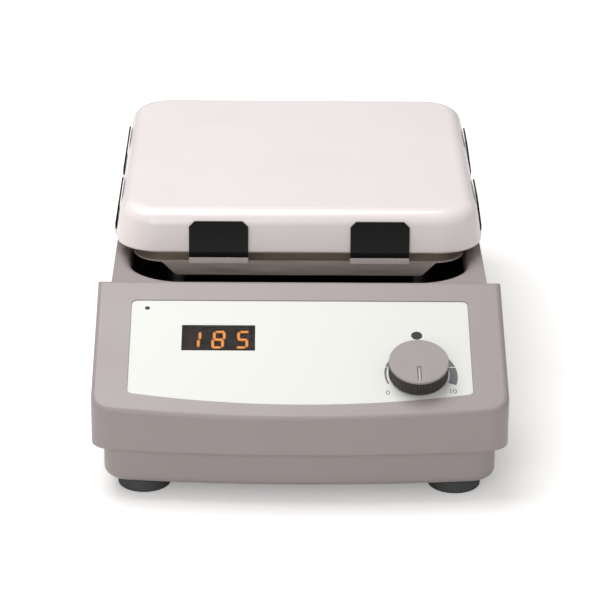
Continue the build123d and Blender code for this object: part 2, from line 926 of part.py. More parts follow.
def make_heat_shield_tray():
    """The bright steel tray under the heater, with an edge folded down on each side."""
    outline = RectangleRounded(2 * tray_half_width, 2 * tray_half_length, tray_corner_radius)
    tray = slab(outline, tray_top - tray_sheet, tray_top)
    front = Pos(0, -tray_half_length) * make_apron(tray_half_width)
    tray = tray + front + Rot(0, 0, 180) * front
    side = Pos(0, -tray_half_width) * make_apron(tray_half_length - side_apron_margin)
    side = Rot(0, 0, 90) * side
    tray = tray + side + Rot(0, 0, 180) * side
    tray = tray - rod(probe_radius + running_gap, tray_top - 2 * tray_sheet, tray_top)
    tray = Pos(0, plate_centre_y) * tray
    for turn, offset, reach in clip_stations():
        hole = rod(clip_screw_radius + slide_gap, tray_top - 2 * tray_sheet, tray_top)
        hole = clip_place(turn, offset) * Pos(0, clip_screw_inset - reach) * hole
        tray = tray - hole
    return tray


def plate_underside():
    """The height of the plate's inner face."""
    return height - plate_wall


def heater_base_top():
    """The height of the board that carries the heating coil."""
    return plate_underside() - seat_gap - 2 * coil_wire_radius


def make_insulation():
    """The ceramic fibre block between the tray and the heater."""
    inset = 2 * insulation_inset
    outline = RectangleRounded(
        2 * plate_half - inset, 2 * plate_half_length - inset, tray_corner_radius
    )
    pad = slab(outline, tray_top, heater_base_top() - heater_base_thickness)
    pad = pad - rod(probe_collar_radius + running_gap, tray_top, height)
    return Pos(0, plate_centre_y) * pad


def make_heater_base():
    """The stiff board that presses the coil against the plate."""
    outline = RectangleRounded(2 * heater_base_half, 2 * heater_base_half_length, tray_corner_radius)
    top = heater_base_top()
    board = slab(outline, top - heater_base_thickness, top)
    board = board - rod(probe_radius + running_gap, tray_top, height)
    return Pos(0, plate_centre_y) * board


def make_heater_coil():
    """The heating coil: one rod bent to and fro, with its loops alternately left and right."""
    half = heater_base_half - coil_side_margin
    points = []
    for index in range(coil_runs):
        y = (index - (coil_runs - 1) / 2) * coil_pitch
        ends = [(-half, y), (half, y)]
        points += ends if index % 2 == 0 else ends[::-1]
    path = FilletPolyline(*points, radius=coil_pitch / 2 - slide_gap)
    start = Plane(origin=path @ 0, z_dir=path % 0)
    coil = sweep(start * Circle(coil_wire_radius), path=path)
    return Pos(0, plate_centre_y, heater_base_top() + coil_wire_radius) * coil


def probe_collar_under():
    """The lower face of the probe's collar, where its spring pushes."""
    return tray_top + probe_collar_lift


def make_temperature_probe():
    """The probe that a spring holds against the middle of the plate."""
    top = plate_underside() - seat_gap
    stem = rod(probe_radius, tray_top - 2 * probe_collar_height, top)
    collar = rod(probe_collar_radius, probe_collar_under(), probe_collar_under() + probe_collar_height)
    return Pos(0, plate_centre_y) * (stem + collar)


def make_probe_spring():
    """The spring under the probe's collar."""
    low = tray_top + spring_wire_radius + slide_gap
    rise = probe_collar_under() - slide_gap - spring_wire_radius - low
    path = Helix(pitch=rise / spring_turns, height=rise, radius=probe_spring_radius)
    start = Plane(origin=path @ 0, z_dir=path % 0)
    wire = sweep(start * Circle(spring_wire_radius), path=path, is_frenet=True)
    return Pos(0, plate_centre_y, low) * wire


def plate_dome(inset, bottom, top):
    """A drafted, round-edged lid between two heights, drawn in by the inset."""
    outline = RectangleRounded(
        2 * (plate_half - inset), 2 * (plate_half_length - inset), plate_corner_radius - inset
    )
    dome = extrude(Pos(0, 0, bottom) * outline, amount=top - bottom, taper=plate_draft_degrees)
    dome = fillet(dome.faces().sort_by(Axis.Z)[-1].edges(), plate_top_radius - inset)
    return Pos(0, plate_centre_y) * dome


def make_top_plate():
    """The white heated plate: a shallow drafted dome, open below."""
    outer = plate_dome(0, plate_rim_height, height)
    inner = plate_dome(plate_wall, plate_rim_height, plate_underside())
    shell = outer - inner
    return fillet(shell.faces().sort_by(Axis.Z)[0].outer_wire().edges(), cover_rim_radius)


def clip_stations():
    """Turn, sideways place and distance out of the eight clips, two on each side."""
    sides = [(0, plate_half, plate_half_length), (90, plate_half_length, plate_half)]
    sides += [(turn + 180, run, reach) for turn, run, reach in sides]
    return [
        (turn, side * run * clip_spacing_share / 2, reach) for turn, run, reach in sides for side in (-1, 1)
    ]


def clip_place(turn, offset):
    """A place on one side of the plate, its outside pointing away along -Y before the turn."""
    return Pos(0, plate_centre_y) * Rot(0, 0, turn) * Pos(offset, 0)


def make_clip(turn, offset, reach):
    """One bent steel clip: a face against the plate's skirt and a foot on the tray."""
    inner = -reach - seat_gap
    bend = plate_rim_height + cover_rim_radius
    lean_in = (clip_top - bend) * tan(radians(plate_draft_degrees))
    foot_end = clip_foot_length - reach
    section = make_face(
        Polyline(
            (0, foot_end, tray_top),
            (0, inner - clip_sheet, tray_top),
            (0, inner - clip_sheet, bend),
            (0, inner - clip_sheet + lean_in, clip_top),
            (0, inner + lean_in, clip_top),
            (0, inner, bend),
            (0, inner, tray_top + clip_sheet),
            (0, foot_end, tray_top + clip_sheet),
            close=True,
        )
    )
    strip = extrude(section, amount=clip_half_width, dir=(1, 0, 0), both=True)
    tall = clip_top - tray_top
    front_view = Box(2 * clip_half_width, 2 * (reach + clip_foot_length), tall)
    front_view = Pos(0, 0, (clip_top + tray_top) / 2) * front_view
    front_view = chamfer(front_view.edges().filter_by(Axis.Y).group_by(Axis.Z)[-1], clip_corner_cut)
    clip = strip & front_view
    hole = rod(clip_screw_radius + slide_gap, tray_top, tray_top + clip_sheet)
    clip = clip - Pos(0, clip_screw_inset - reach) * hole
    return clip_place(turn, offset) * clip


def make_clip_screws():
    """The screw that holds each clip's foot to the tray."""
    group = []
    seat = tray_top + clip_sheet
    for turn, offset, reach in clip_stations():
        head = rod(clip_screw_head_radius, seat, seat + clip_screw_head_height)
        shank = rod(clip_screw_radius, tray_top - clip_screw_grip, seat)
        group.append(clip_place(turn, offset) * Pos(0, clip_screw_inset - reach) * (head + shank))
    return group


def rear_face_y():
    """The outer face of the rear panel, against the inside of the rear wall."""
    return body_rear_y - wall


def rear_block(x, z, x_size, z_size, near, far):
    """A block behind or before the rear panel: near and far are measured outwards from its face."""
    y = rear_face_y()
    return Pos(x, y + (near + far) / 2, z) * Box(x_size, far - near, z_size)


def make_rear_panel():
    """The black plate behind the rear window, with the inlet's and the switch's cut-outs."""
    middle = rear_panel_bottom + rear_panel_height / 2
    plate = rear_block(0, middle, rear_panel_width, rear_panel_height, -rear_panel_sheet, 0)
    gap = 2 * slide_gap
    plate = plate - rear_block(
        -fitting_x, fitting_z, inlet_body_width + gap, inlet_body_height + gap, -wall, wall
    )
    return plate - rear_block(
        fitting_x, fitting_z, switch_body_width + gap, switch_body_height + gap, -wall, wall
    )


def inlet_mouth(depth_from_face, grow):
    """The socket space of the mains inlet, with its two upper corners cut."""
    mouth = rear_block(
        -fitting_x,
        fitting_z - inlet_mouth_drop,
        inlet_mouth_width + grow,
        inlet_mouth_height + grow,
        inlet_flange_sheet - depth_from_face,
        inlet_flange_sheet,
    )
    upper = mouth.edges().filter_by(Axis.Y).group_by(Axis.Z)[-1]
    return chamfer(upper, inlet_mouth_corner)


def make_power_inlet():
    """The mains inlet with its flange, its socket and the slot of the fuse drawer."""
    flange = rear_block(
        -fitting_x, fitting_z, inlet_flange_width, inlet_flange_height, 0, inlet_flange_sheet
    )
    flange = fillet(flange.edges().filter_by(Axis.Y), inlet_body_inset)
    body = rear_block(
        -fitting_x, fitting_z, inlet_body_width, inlet_body_height, -inlet_depth - inlet_back, 0
    )
    inlet = flange + body - inlet_mouth(inlet_depth, 0)
    slot = rear_block(
        -fitting_x,
        fitting_z + fuse_drawer_rise,
        fuse_drawer_width + 2 * slide_gap,
        fuse_drawer_height + 2 * slide_gap,
        inlet_flange_sheet - fuse_drawer_depth - slide_gap,
        inlet_flange_sheet,
    )
    return inlet - slot


def make_inlet_pins():
    """The three flat pins in the socket."""
    floor = inlet_flange_sheet - inlet_depth
    group = []
    for side, rise in ((-1, -live_pin_drop), (0, earth_pin_rise), (1, -live_pin_drop)):
        x = -fitting_x + side * pin_spacing / 2
        z = fitting_z - inlet_mouth_drop + rise
        group.append(rear_block(x, z, pin_width, pin_height, floor, floor + pin_length))
    return group


def make_fuse_drawer():
    """The drawer that holds the fuse, flush with the inlet's face."""
    z = fitting_z + fuse_drawer_rise
    back = inlet_flange_sheet - fuse_drawer_depth
    drawer = rear_block(-fitting_x, z, fuse_drawer_width, fuse_drawer_height, back, inlet_flange_sheet)
    trough_low = z - fuse_radius - slide_gap
    trough_high = z + fuse_drawer_height / 2
    trough_back = inlet_flange_sheet - fuse_drawer_face - 2 * fuse_radius - 2 * slide_gap
    trough = rear_block(
        -fitting_x,
        (trough_low + trough_high) / 2,
        fuse_length + 2 * slide_gap,
        trough_high - trough_low,
        trough_back,
        inlet_flange_sheet - fuse_drawer_face,
    )
    return drawer - trough


def make_fuse():
    """The glass fuse lying in its drawer."""
    near = inlet_flange_sheet - fuse_drawer_face - slide_gap - fuse_radius
    fuse = Rot(0, 90, 0) * Cylinder(fuse_radius, fuse_length)
    return Pos(-fitting_x, rear_face_y() + near, fitting_z + fuse_drawer_rise) * fuse


def make_switch_body():
    """The frame of the mains switch, with the well its rocker swings in."""
    bezel = rear_block(
        fitting_x,
        fitting_z,
        switch_body_width + switch_bezel,
        switch_body_height + switch_bezel,
        0,
        switch_bezel_sheet,
    )
    body = rear_block(
        fitting_x, fitting_z, switch_body_width, switch_body_height, -switch_body_depth, 0
    )
    well = rear_block(
        fitting_x,
        fitting_z,
        rocker_width + 2 * rocker_gap,
        2 * (rocker_radius + rocker_gap),
        -rocker_radius - rocker_gap,
        switch_bezel_sheet,
    )
    pin = Pos(fitting_x, rear_face_y(), fitting_z) * Rot(0, 90, 0) * Cylinder(
        rocker_pin_radius, rocker_width + 2 * rocker_gap
    )
    return bezel + body - well + pin


def make_rocker():
    """The rocker, stored in its on position, on the pin across the switch."""
    high = rocker_proud + rocker_rise
    outline = make_face(
        Polyline(
            (-rocker_radius, -rocker_radius),
            (rocker_radius, -rocker_radius),
            (rocker_radius, high),
            (0, rocker_proud),
            (-rocker_radius, high),
            close=True,
        )
    )
    outline = outline & Circle(rocker_radius)
    outline = outline - Circle(rocker_pin_radius + slide_gap)
    rocker = extrude(outline, amount=rocker_width / 2, both=True)
    rocker = Rot(0, 0, rocker_swing_degrees / 2) * rocker
    turned = Plane(origin=(fitting_x, rear_face_y(), fitting_z), x_dir=(0, 0, 1), z_dir=(-1, 0, 0))
    return turned.location * rocker


def make_rod_socket():
    """The threaded bush for the support rod, hung from the deck by its collar."""
    low = deck_height - rod_socket_depth - wall
    bush = rod(rod_socket_radius, low, deck_height)
    bush = bush - rod(rod_thread_radius, deck_height - rod_socket_depth, deck_height)
    return Pos(rod_socket_x, rod_socket_y) * bush


def make_rod_socket_nut():
    """The flat nut that clamps the bush under the deck."""
    high = deck_height - wall - rod_collar_height
    ring = rod(rod_collar_radius, high - 2 * rod_collar_height, high)
    ring = ring - rod(rod_socket_radius + slide_gap, high - 2 * rod_collar_height, high)
    return Pos(rod_socket_x, rod_socket_y) * ring


clip_names = (
    "plate_clip_front_left",
    "plate_clip_front_right",
    "plate_clip_right_front",
    "plate_clip_right_rear",
    "plate_clip_rear_right",
    "plate_clip_rear_left",
    "plate_clip_left_rear",
    "plate_clip_left_front",
)
foot_names = ("foot_front_left", "foot_rear_left", "foot_front_right", "foot_rear_right")
post_names = (
    "tray_post_front_left",
    "tray_post_front_right",
    "tray_post_rear_right",
    "tray_post_rear_left",
)
lit_segments = ("bc", "abcdefg", "acdfg")
unlit_segments = ("adefg", "", "be")


def all_nodes():
    """Every separate piece of the hotplate under its own name."""
    nodes = {
        "upper_housing": make_upper_housing(),
        "lower_housing": make_lower_housing(),
        "housing_screws": make_housing_screws(),
        "foot_screws": make_foot_screws(),
        "front_panel": make_front_panel(),
        "display_window": make_display_window(),
        "display_module": make_display_module(),
        "display_lit_segments": make_segments(lit_segments),
        "display_dark_segments": make_segments(unlit_segments),
        "heat_lamp": make_lamp(heat_lamp_u, heat_lamp_v, heat_lamp_radius),
        "power_lamp": make_lamp(power_lamp_u, power_lamp_v, power_lamp_radius),
        "control_board": make_control_board(),
        "control_board_screws": make_board_screws(),
        "encoder_housing": make_encoder_housing(),
        "encoder_bushing": make_encoder_bushing(),
        "encoder_washer": make_encoder_washer(),
        "encoder_nut": make_encoder_nut(),
        "encoder_plunger": make_encoder_plunger(),
        "encoder_shaft": make_encoder_shaft(),
        "control_knob": make_control_knob(),
        "power_board": make_power_board(),
        "power_board_screws": make_power_board_screws(),
        "transformer": make_transformer(),
        "capacitor": make_capacitor(),
        "power_heatsink": make_heatsink(),
        "terminal_block": make_terminal_block(),
        "well_liner": make_well_liner(),
        "heat_shield_tray": make_heat_shield_tray(),
        "insulation_block": make_insulation(),
        "heater_base": make_heater_base(),
        "heater_coil": make_heater_coil(),
        "temperature_probe": make_temperature_probe(),
        "probe_spring": make_probe_spring(),
        "top_plate": make_top_plate(),
        "clip_screws": make_clip_screws(),
        "rear_panel": make_rear_panel(),
        "power_inlet": make_power_inlet(),
        "inlet_pins": make_inlet_pins(),
        "fuse_drawer": make_fuse_drawer(),
        "fuse": make_fuse(),
        "switch_body": make_switch_body(),
        "switch_rocker": make_rocker(),
        "rod_socket": make_rod_socket(),
        "rod_socket_nut": make_rod_socket_nut(),
    }
    for name, (turn, offset, reach) in zip(clip_names, clip_stations()):
        nodes[name] = make_clip(turn, offset, reach)
    for name, (x, y) in zip(foot_names, foot_places()):
        nodes[name] = make_foot(x, y)
    for name, (x, y) in zip(post_names, plate_post_places()):
        nodes[name] = make_tray_post(x, y)
    return nodes


os.makedirs("parts", exist_ok=True)
for node, shape in all_nodes().items():
    whole = Compound(children=list(shape)) if isinstance(shape, list) else shape
    export_step(whole, f"parts/{node}.step")
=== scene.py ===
# %% [markdown]
# Dressing a laboratory hotplate. The construction comes from the imported frame, in metres, and stays as it is.
# This file gives each piece its finish, adds the printed and painted details that are too fine for the
# construction model, and sets the light and the camera.

# %% Load the frame
import math

import bpy
from mathutils import Matrix, Vector


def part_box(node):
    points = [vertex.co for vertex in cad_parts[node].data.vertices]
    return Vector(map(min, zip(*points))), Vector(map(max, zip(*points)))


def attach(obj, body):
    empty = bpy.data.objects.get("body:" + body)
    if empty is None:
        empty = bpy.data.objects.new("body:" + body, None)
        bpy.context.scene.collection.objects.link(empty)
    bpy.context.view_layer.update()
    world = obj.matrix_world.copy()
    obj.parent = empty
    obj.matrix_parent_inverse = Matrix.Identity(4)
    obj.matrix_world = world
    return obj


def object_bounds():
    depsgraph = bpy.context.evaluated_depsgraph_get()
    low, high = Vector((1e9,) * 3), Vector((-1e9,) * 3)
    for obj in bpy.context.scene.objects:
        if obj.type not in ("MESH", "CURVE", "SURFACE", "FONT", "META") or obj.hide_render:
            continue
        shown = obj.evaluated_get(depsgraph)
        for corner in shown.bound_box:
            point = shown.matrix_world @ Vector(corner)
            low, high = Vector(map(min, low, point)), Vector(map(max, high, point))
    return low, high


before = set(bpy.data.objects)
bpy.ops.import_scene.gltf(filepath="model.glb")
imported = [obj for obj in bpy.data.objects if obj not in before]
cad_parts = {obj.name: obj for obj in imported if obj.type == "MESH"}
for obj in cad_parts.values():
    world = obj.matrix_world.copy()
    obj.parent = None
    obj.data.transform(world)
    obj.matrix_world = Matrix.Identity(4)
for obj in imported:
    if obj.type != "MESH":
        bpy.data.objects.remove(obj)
cad_box = [list(corner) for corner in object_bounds()]
MM = 0.001
print("nodes", len(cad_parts), "box", cad_box)

# %% [markdown]
# Places are read from the frame's own boxes, so the dressing follows the construction. A box has no slope, so
# the tilt of the control panel and the height where its slope begins are named values. The knob's axis runs
# through the middle of its nut, and the point where it meets the panel's face is the seat for all that is
# printed round it.

# %% Places read from the frame
PANEL_TILT = math.radians(22.45)
SLOPE_FOOT_HEIGHT = 49.6 * MM
PANEL_SURFACE_DROP = 0.5 * MM
plate_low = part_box("top_plate")[0]
panel_up = Vector((0, math.cos(PANEL_TILT), math.sin(PANEL_TILT)))
panel_out = Vector((0, -math.sin(PANEL_TILT), math.cos(PANEL_TILT)))
nut_low, nut_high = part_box("encoder_nut")
nut_middle = (nut_low + nut_high) / 2
housing_front = cad_box[0][1]
slope_foot = Vector((0, housing_front, SLOPE_FOOT_HEIGHT))
face_point = slope_foot - panel_out * PANEL_SURFACE_DROP
knob_seat = nut_middle - panel_out * (nut_middle - face_point).dot(panel_out)
print("knob seat", tuple(round(c, 4) for c in knob_seat))


def on_panel(right, up, out=0.0):
    """A point on the panel's face, measured from the knob's axis, in metres."""
    return knob_seat + Vector((right, 0, 0)) + panel_up * up + panel_out * out


# %% [markdown]
# A photograph is matched by a camera with its distance, height angle, turn, roll and lens. These were found
# by fitting the edges of the housing, the plate and the feet. A long lens from a metre and a half keeps the
# lines nearly parallel.

# %% Camera
CAMERA_TARGET = Vector((0.64, -60.0, 64.7)) * MM
CAMERA_DISTANCE = 1503.96 * MM
CAMERA_HEIGHT_ANGLE = math.radians(22.74)
CAMERA_TURN = math.radians(-0.71)
CAMERA_ROLL = math.radians(-0.56)
CAMERA_LENS = 165.07
CAMERA_SENSOR = 36.0


def make_camera():
    """The camera of the photograph."""
    flat = math.cos(CAMERA_HEIGHT_ANGLE)
    rise = math.sin(CAMERA_HEIGHT_ANGLE)
    back = Vector((math.sin(CAMERA_TURN) * flat, -math.cos(CAMERA_TURN) * flat, rise))
    right = (-back).cross(Vector((0, 0, 1))).normalized()
    up = right.cross(-back)
    right_rolled = right * math.cos(CAMERA_ROLL) - up * math.sin(CAMERA_ROLL)
    up_rolled = up * math.cos(CAMERA_ROLL) + right * math.sin(CAMERA_ROLL)
    turn = Matrix((right_rolled, up_rolled, back)).transposed().to_4x4()
    data = bpy.data.cameras.new("camera")
    data.lens = CAMERA_LENS
    data.sensor_width = CAMERA_SENSOR
    camera = bpy.data.objects.new("camera", data)
    bpy.context.scene.collection.objects.link(camera)
    camera.matrix_world = Matrix.Translation(CAMERA_TARGET + back * CAMERA_DISTANCE) @ turn
    bpy.context.scene.camera = camera
    return camera


camera = make_camera()
print("camera at", tuple(round(c, 3) for c in camera.location))

# %% [markdown]
# Materials are built from nodes. The first helpers turn a hex colour into the linear values that Blender
# works in, add a node with its settings and links, and start a material from its plain numbers. The others
# lay a noise pattern over the piece and let it drive the relief, the gloss or the colour, because no real
# surface is the same all over. Blender's noise rarely leaves its middle range, so that range is stretched.


# %% Helpers for materials
NOISE_LOW = 0.3
NOISE_HIGH = 0.7


def linear(code, alpha=1.0):
    """A six-digit sRGB hex colour as linear red, green, blue and alpha."""
    parts = [int(code[i : i + 2], 16) / 255 for i in (0, 2, 4)]
    return [p / 12.92 if p <= 0.04045 else ((p + 0.055) / 1.055) ** 2.4 for p in parts] + [alpha]


def add_node(tree, kind, settings=None, values=None, links=None):
    """One node: attribute settings, socket values, and links from other nodes' sockets."""
    node = tree.nodes.new(kind)
    for key, value in (settings or {}).items():
        setattr(node, key, value)
    for key, value in (values or {}).items():
        node.inputs[key].default_value = value
    for key, source in (links or {}).items():
        tree.links.new(source, node.inputs[key])
    return node


def start_material(name, colour, roughness, metallic=0.0, **values):
    """A material with the plain numbers set on its shader. Returns it with its tree and shader."""
    material = bpy.data.materials.new(name)
    material.use_nodes = True
    tree = material.node_tree
    shader = tree.nodes["Principled BSDF"]
    shader.inputs["Base Color"].default_value = linear(colour)
    shader.inputs["Roughness"].default_value = roughness
    shader.inputs["Metallic"].default_value = metallic
    for key, value in values.items():
        shader.inputs[key.replace("_", " ")].default_value = value
    return material, tree, shader


def spot_noise(tree, size, detail=2.0):
    """Even noise over the piece, with spots of about the given size in metres."""
    place = add_node(tree, "ShaderNodeTexCoord")
    return add_node(
        tree,
        "ShaderNodeTexNoise",
        values={"Scale": 1.0 / size, "Detail": detail},
        links={"Vector": place.outputs["Object"]},
    )


def bump_from(tree, shader, source, height, strength):
    """Raises the surface by a pattern, its full swing being the given height in metres."""
    bump = add_node(
        tree,
        "ShaderNodeBump",
        values={"Strength": strength, "Distance": height},
        links={"Height": source},
    )
    tree.links.new(bump.outputs["Normal"], shader.inputs["Normal"])


def swing(tree, source, low, high):
    """The pattern's middle range stretched between two values."""
    node = add_node(
        tree,
        "ShaderNodeMapRange",
        values={"From Min": NOISE_LOW, "From Max": NOISE_HIGH, "To Min": low, "To Max": high},
        links={"Value": source},
    )
    return node.outputs["Result"]


def tint_between(tree, shader, source, first, second):
    """The colour wanders between two hex colours with the pattern."""
    mix = add_node(
        tree,
        "ShaderNodeMix",
        settings={"data_type": "RGBA"},
        values={"A": linear(first), "B": linear(second)},
        links={"Factor": source},
    )
    tree.links.new(mix.outputs["Result"], shader.inputs["Base Color"])


# %% [markdown]
# The housing has a satin grey stove enamel. Sprayed paint flows out into a very shallow orange peel about two
# millimetres across, and hands leave it a little glossier in places. A bump gives the peel, because it is far
# too shallow to be worth modelling.


# %% Painted housing
def make_housing_paint():
    """Satin paint with orange peel and places worn glossier."""
    material, tree, shader = start_material("satin_stove_enamel_grey", "9D9392", 0.34)
    peel = spot_noise(tree, 2.2 * MM)
    bump_from(tree, shader, peel.outputs["Fac"], height=0.02 * MM, strength=0.35)
    wear = spot_noise(tree, 45 * MM, detail=4.0)
    gloss = swing(tree, wear.outputs["Fac"], low=0.31, high=0.42)
    tree.links.new(gloss, shader.inputs["Roughness"])
    tint_between(tree, shader, wear.outputs["Fac"], "9A908F", "A09695")
    return material


housing_paint = make_housing_paint()
print("made", housing_paint.name)

# %% [markdown]
# The front panel is a printed polycarbonate overlay: nearly white, with a fine matt grain that hides
# finger marks.


# %% White overlay
def make_overlay_film():
    """Nearly white film with a fine matt grain."""
    material, tree, shader = start_material("matt_polycarbonate_overlay", "DFDFDA", 0.42)
    grain = spot_noise(tree, 0.5 * MM)
    bump_from(tree, shader, grain.outputs["Fac"], height=0.01 * MM, strength=0.25)
    return material


overlay_film = make_overlay_film()
print("made", overlay_film.name)

# %% [markdown]
# The plate is covered with white glass enamel, fired on. It is glossy, slightly pink-grey, and its surface
# has the long shallow waves that a fired coat keeps.


# %% White enamel
def make_plate_enamel():
    """Glossy fired enamel with long shallow waves."""
    material, tree, shader = start_material("fired_white_enamel", "F1E8E6", 0.2, Coat_Weight=0.4)
    shader.inputs["Coat Roughness"].default_value = 0.2
    wave = spot_noise(tree, 26 * MM, detail=1.0)
    bump_from(tree, shader, wave.outputs["Fac"], height=0.12 * MM, strength=0.25)
    cloud = spot_noise(tree, 60 * MM, detail=3.0)
    tint_between(tree, shader, cloud.outputs["Fac"], "E9E0DE", "EEE6E4")
    gloss = swing(tree, cloud.outputs["Fac"], low=0.18, high=0.28)
    tree.links.new(gloss, shader.inputs["Roughness"])
    return material


plate_enamel = make_plate_enamel()
print("made", plate_enamel.name)

# %% [markdown]
# The clips are polished spring steel. Their face is coloured glossy black, a painted reflection of the dark
# surroundings. The black stops just above the bend, where the bare bright steel shows as a narrow strip, so the
# height in the piece decides between the two finishes.


# %% Clip with a painted black reflection and a bare lower edge
# Above this height the clip is coloured black: a painted reflection of dark surroundings in polished steel.
CLIP_REFLECTION_EDGE = plate_low.z - 2.0 * MM
CLIP_PAINTED_REFLECTION_BLACK = "050404"
CLIP_BARE_STEEL = "FFF8F2"
CLIP_BLACK_ROUGHNESS = 0.1
CLIP_BARE_ROUGHNESS = 0.5


def make_clip_finish():
    """Glossy black above the edge, a painted dark reflection, and bare bright steel below it."""
    material, tree, shader = start_material(
        "steel_with_painted_dark_reflection", CLIP_PAINTED_REFLECTION_BLACK, CLIP_BLACK_ROUGHNESS, Specular_IOR_Level=0.3
    )
    place = add_node(tree, "ShaderNodeTexCoord")
    parts = add_node(tree, "ShaderNodeSeparateXYZ", links={"Vector": place.outputs["Object"]})
    bare = add_node(
        tree,
        "ShaderNodeMath",
        settings={"operation": "LESS_THAN"},
        values={1: CLIP_REFLECTION_EDGE},
        links={0: parts.outputs["Z"]},
    )
    colour = add_node(
        tree,
        "ShaderNodeMix",
        settings={"data_type": "RGBA"},
        values={"A": linear(CLIP_PAINTED_REFLECTION_BLACK), "B": linear(CLIP_BARE_STEEL)},
        links={"Factor": bare.outputs["Value"]},
    )
    tree.links.new(colour.outputs["Result"], shader.inputs["Base Color"])
    tree.links.new(bare.outputs["Value"], shader.inputs["Metallic"])
    rough = add_node(
        tree,
        "ShaderNodeMapRange",
        values={"To Min": CLIP_BLACK_ROUGHNESS, "To Max": CLIP_BARE_ROUGHNESS},
        links={"Value": bare.outputs["Value"]},
    )
    tree.links.new(rough.outputs["Result"], shader.inputs["Roughness"])
    return material


clip_finish = make_clip_finish()
print("coat ends at", round(CLIP_REFLECTION_EDGE, 4))

# %% [markdown]
# Sheet and turned metals. Rolled stainless sheet has fine drawn lines along its length; they are stretched
# noise, fine across the rolling direction and long along it. Zinc plate is softer and slightly mottled. Each
# call gives the colour, the roughness, and the spacing and length of the lines.


# %% Metals
LINE_GLOSS_LOW = 0.8
LINE_GLOSS_HIGH = 1.25


def make_drawn_metal(name, colour, roughness, line, run):
    """A metal with drawn lines: line is their spacing and run their length, in metres."""
    material, tree, shader = start_material(name, colour, roughness, metallic=1.0)
    place = add_node(tree, "ShaderNodeTexCoord")
    stretch = add_node(
        tree,
        "ShaderNodeMapping",
        values={"Scale": (1 / run, 1 / line, 1 / line)},
        links={"Vector": place.outputs["Object"]},
    )
    lines = add_node(
        tree,
        "ShaderNodeTexNoise",
        values={"Scale": 1.0, "Detail": 2.0},
        links={"Vector": stretch.outputs["Vector"]},
    )
    gloss = swing(tree, lines.outputs["Fac"], roughness * LINE_GLOSS_LOW, roughness * LINE_GLOSS_HIGH)
    tree.links.new(gloss, shader.inputs["Roughness"])
    bump_from(tree, shader, lines.outputs["Fac"], height=0.006 * MM, strength=0.3)
    return material


tray_steel = make_drawn_metal("rolled_stainless_sheet", "FBF1E8", 0.42, 0.5 * MM, 30 * MM)
zinc_plate = make_drawn_metal("zinc_plated_steel", "B9BABC", 0.34, 0.8 * MM, 2 * MM)
turned_brass = make_drawn_metal("turned_nickelled_brass", "C8B48A", 0.28, 0.4 * MM, 5 * MM)
plain_aluminium = make_drawn_metal("milled_aluminium", "C9CACC", 0.3, 0.6 * MM, 8 * MM)
heater_sheath = make_drawn_metal("oxidised_heater_sheath", "6B625C", 0.5, 1.0 * MM, 3 * MM)
print("metals", [m.name for m in (tray_steel, zinc_plate, turned_brass, plain_aluminium, heater_sheath)])

# %% [markdown]
# Plastics, rubber and the small parts. Each has its own grain: moulded plastic is sparked in the tool and
# comes out with a fine even texture, rubber is duller. Each call gives the colour, the roughness, and the
# width and height of the grain. The knob's ribbed skirt under its grey cap is coloured darker as painted
# shade, so the height along its axis decides between the two colours.


# %% Plastics and rubber
CLOUD_SIZE = 12 * MM
CLOUD_GLOSS_LOW = 0.9
CLOUD_GLOSS_HIGH = 1.12
# Up to this rise the knob's ribbed skirt is coloured darker: painted shade.
PAINTED_SHADE_RISE = 9.0 * MM
KNOB_CAP_GREY = "9A9192"
KNOB_PAINTED_SHADE_GREY = "3B3635"


def make_moulded(name, colour, roughness, grain, height, **values):
    """A moulded piece with a fine even grain, its spots and their height in metres."""
    material, tree, shader = start_material(name, colour, roughness, **values)
    spots = spot_noise(tree, grain)
    bump_from(tree, shader, spots.outputs["Fac"], height, strength=0.3)
    cloud = spot_noise(tree, CLOUD_SIZE, detail=3.0)
    gloss = swing(tree, cloud.outputs["Fac"], roughness * CLOUD_GLOSS_LOW, roughness * CLOUD_GLOSS_HIGH)
    tree.links.new(gloss, shader.inputs["Roughness"])
    return material


def make_knob_plastic():
    """Grey plastic, darker up to a set rise over the panel's face: painted shade on the ribbed skirt."""
    material = make_moulded("satin_moulded_abs_grey", KNOB_CAP_GREY, 0.42, 0.6 * MM, 0.01 * MM)
    tree = material.node_tree
    place = add_node(tree, "ShaderNodeTexCoord")
    rise = add_node(
        tree,
        "ShaderNodeVectorMath",
        settings={"operation": "DOT_PRODUCT"},
        values={1: panel_out},
        links={0: place.outputs["Object"]},
    )
    # Below the rise the colour turns dark: painted shade on the ribs.
    skirt_shade = add_node(
        tree,
        "ShaderNodeMath",
        settings={"operation": "LESS_THAN"},
        values={1: knob_seat.dot(panel_out) + PAINTED_SHADE_RISE},
        links={0: rise.outputs["Value"]},
    )
    tint_between(tree, tree.nodes["Principled BSDF"], skirt_shade.outputs["Value"], KNOB_CAP_GREY, KNOB_PAINTED_SHADE_GREY)
    return material


knob_plastic = make_knob_plastic()
black_plastic = make_moulded("black_moulded_nylon", "17171A", 0.5, 0.5 * MM, 0.02 * MM)
gloss_black = make_moulded("glossy_black_polycarbonate", "0C0C0E", 0.16, 3.0 * MM, 0.005 * MM)
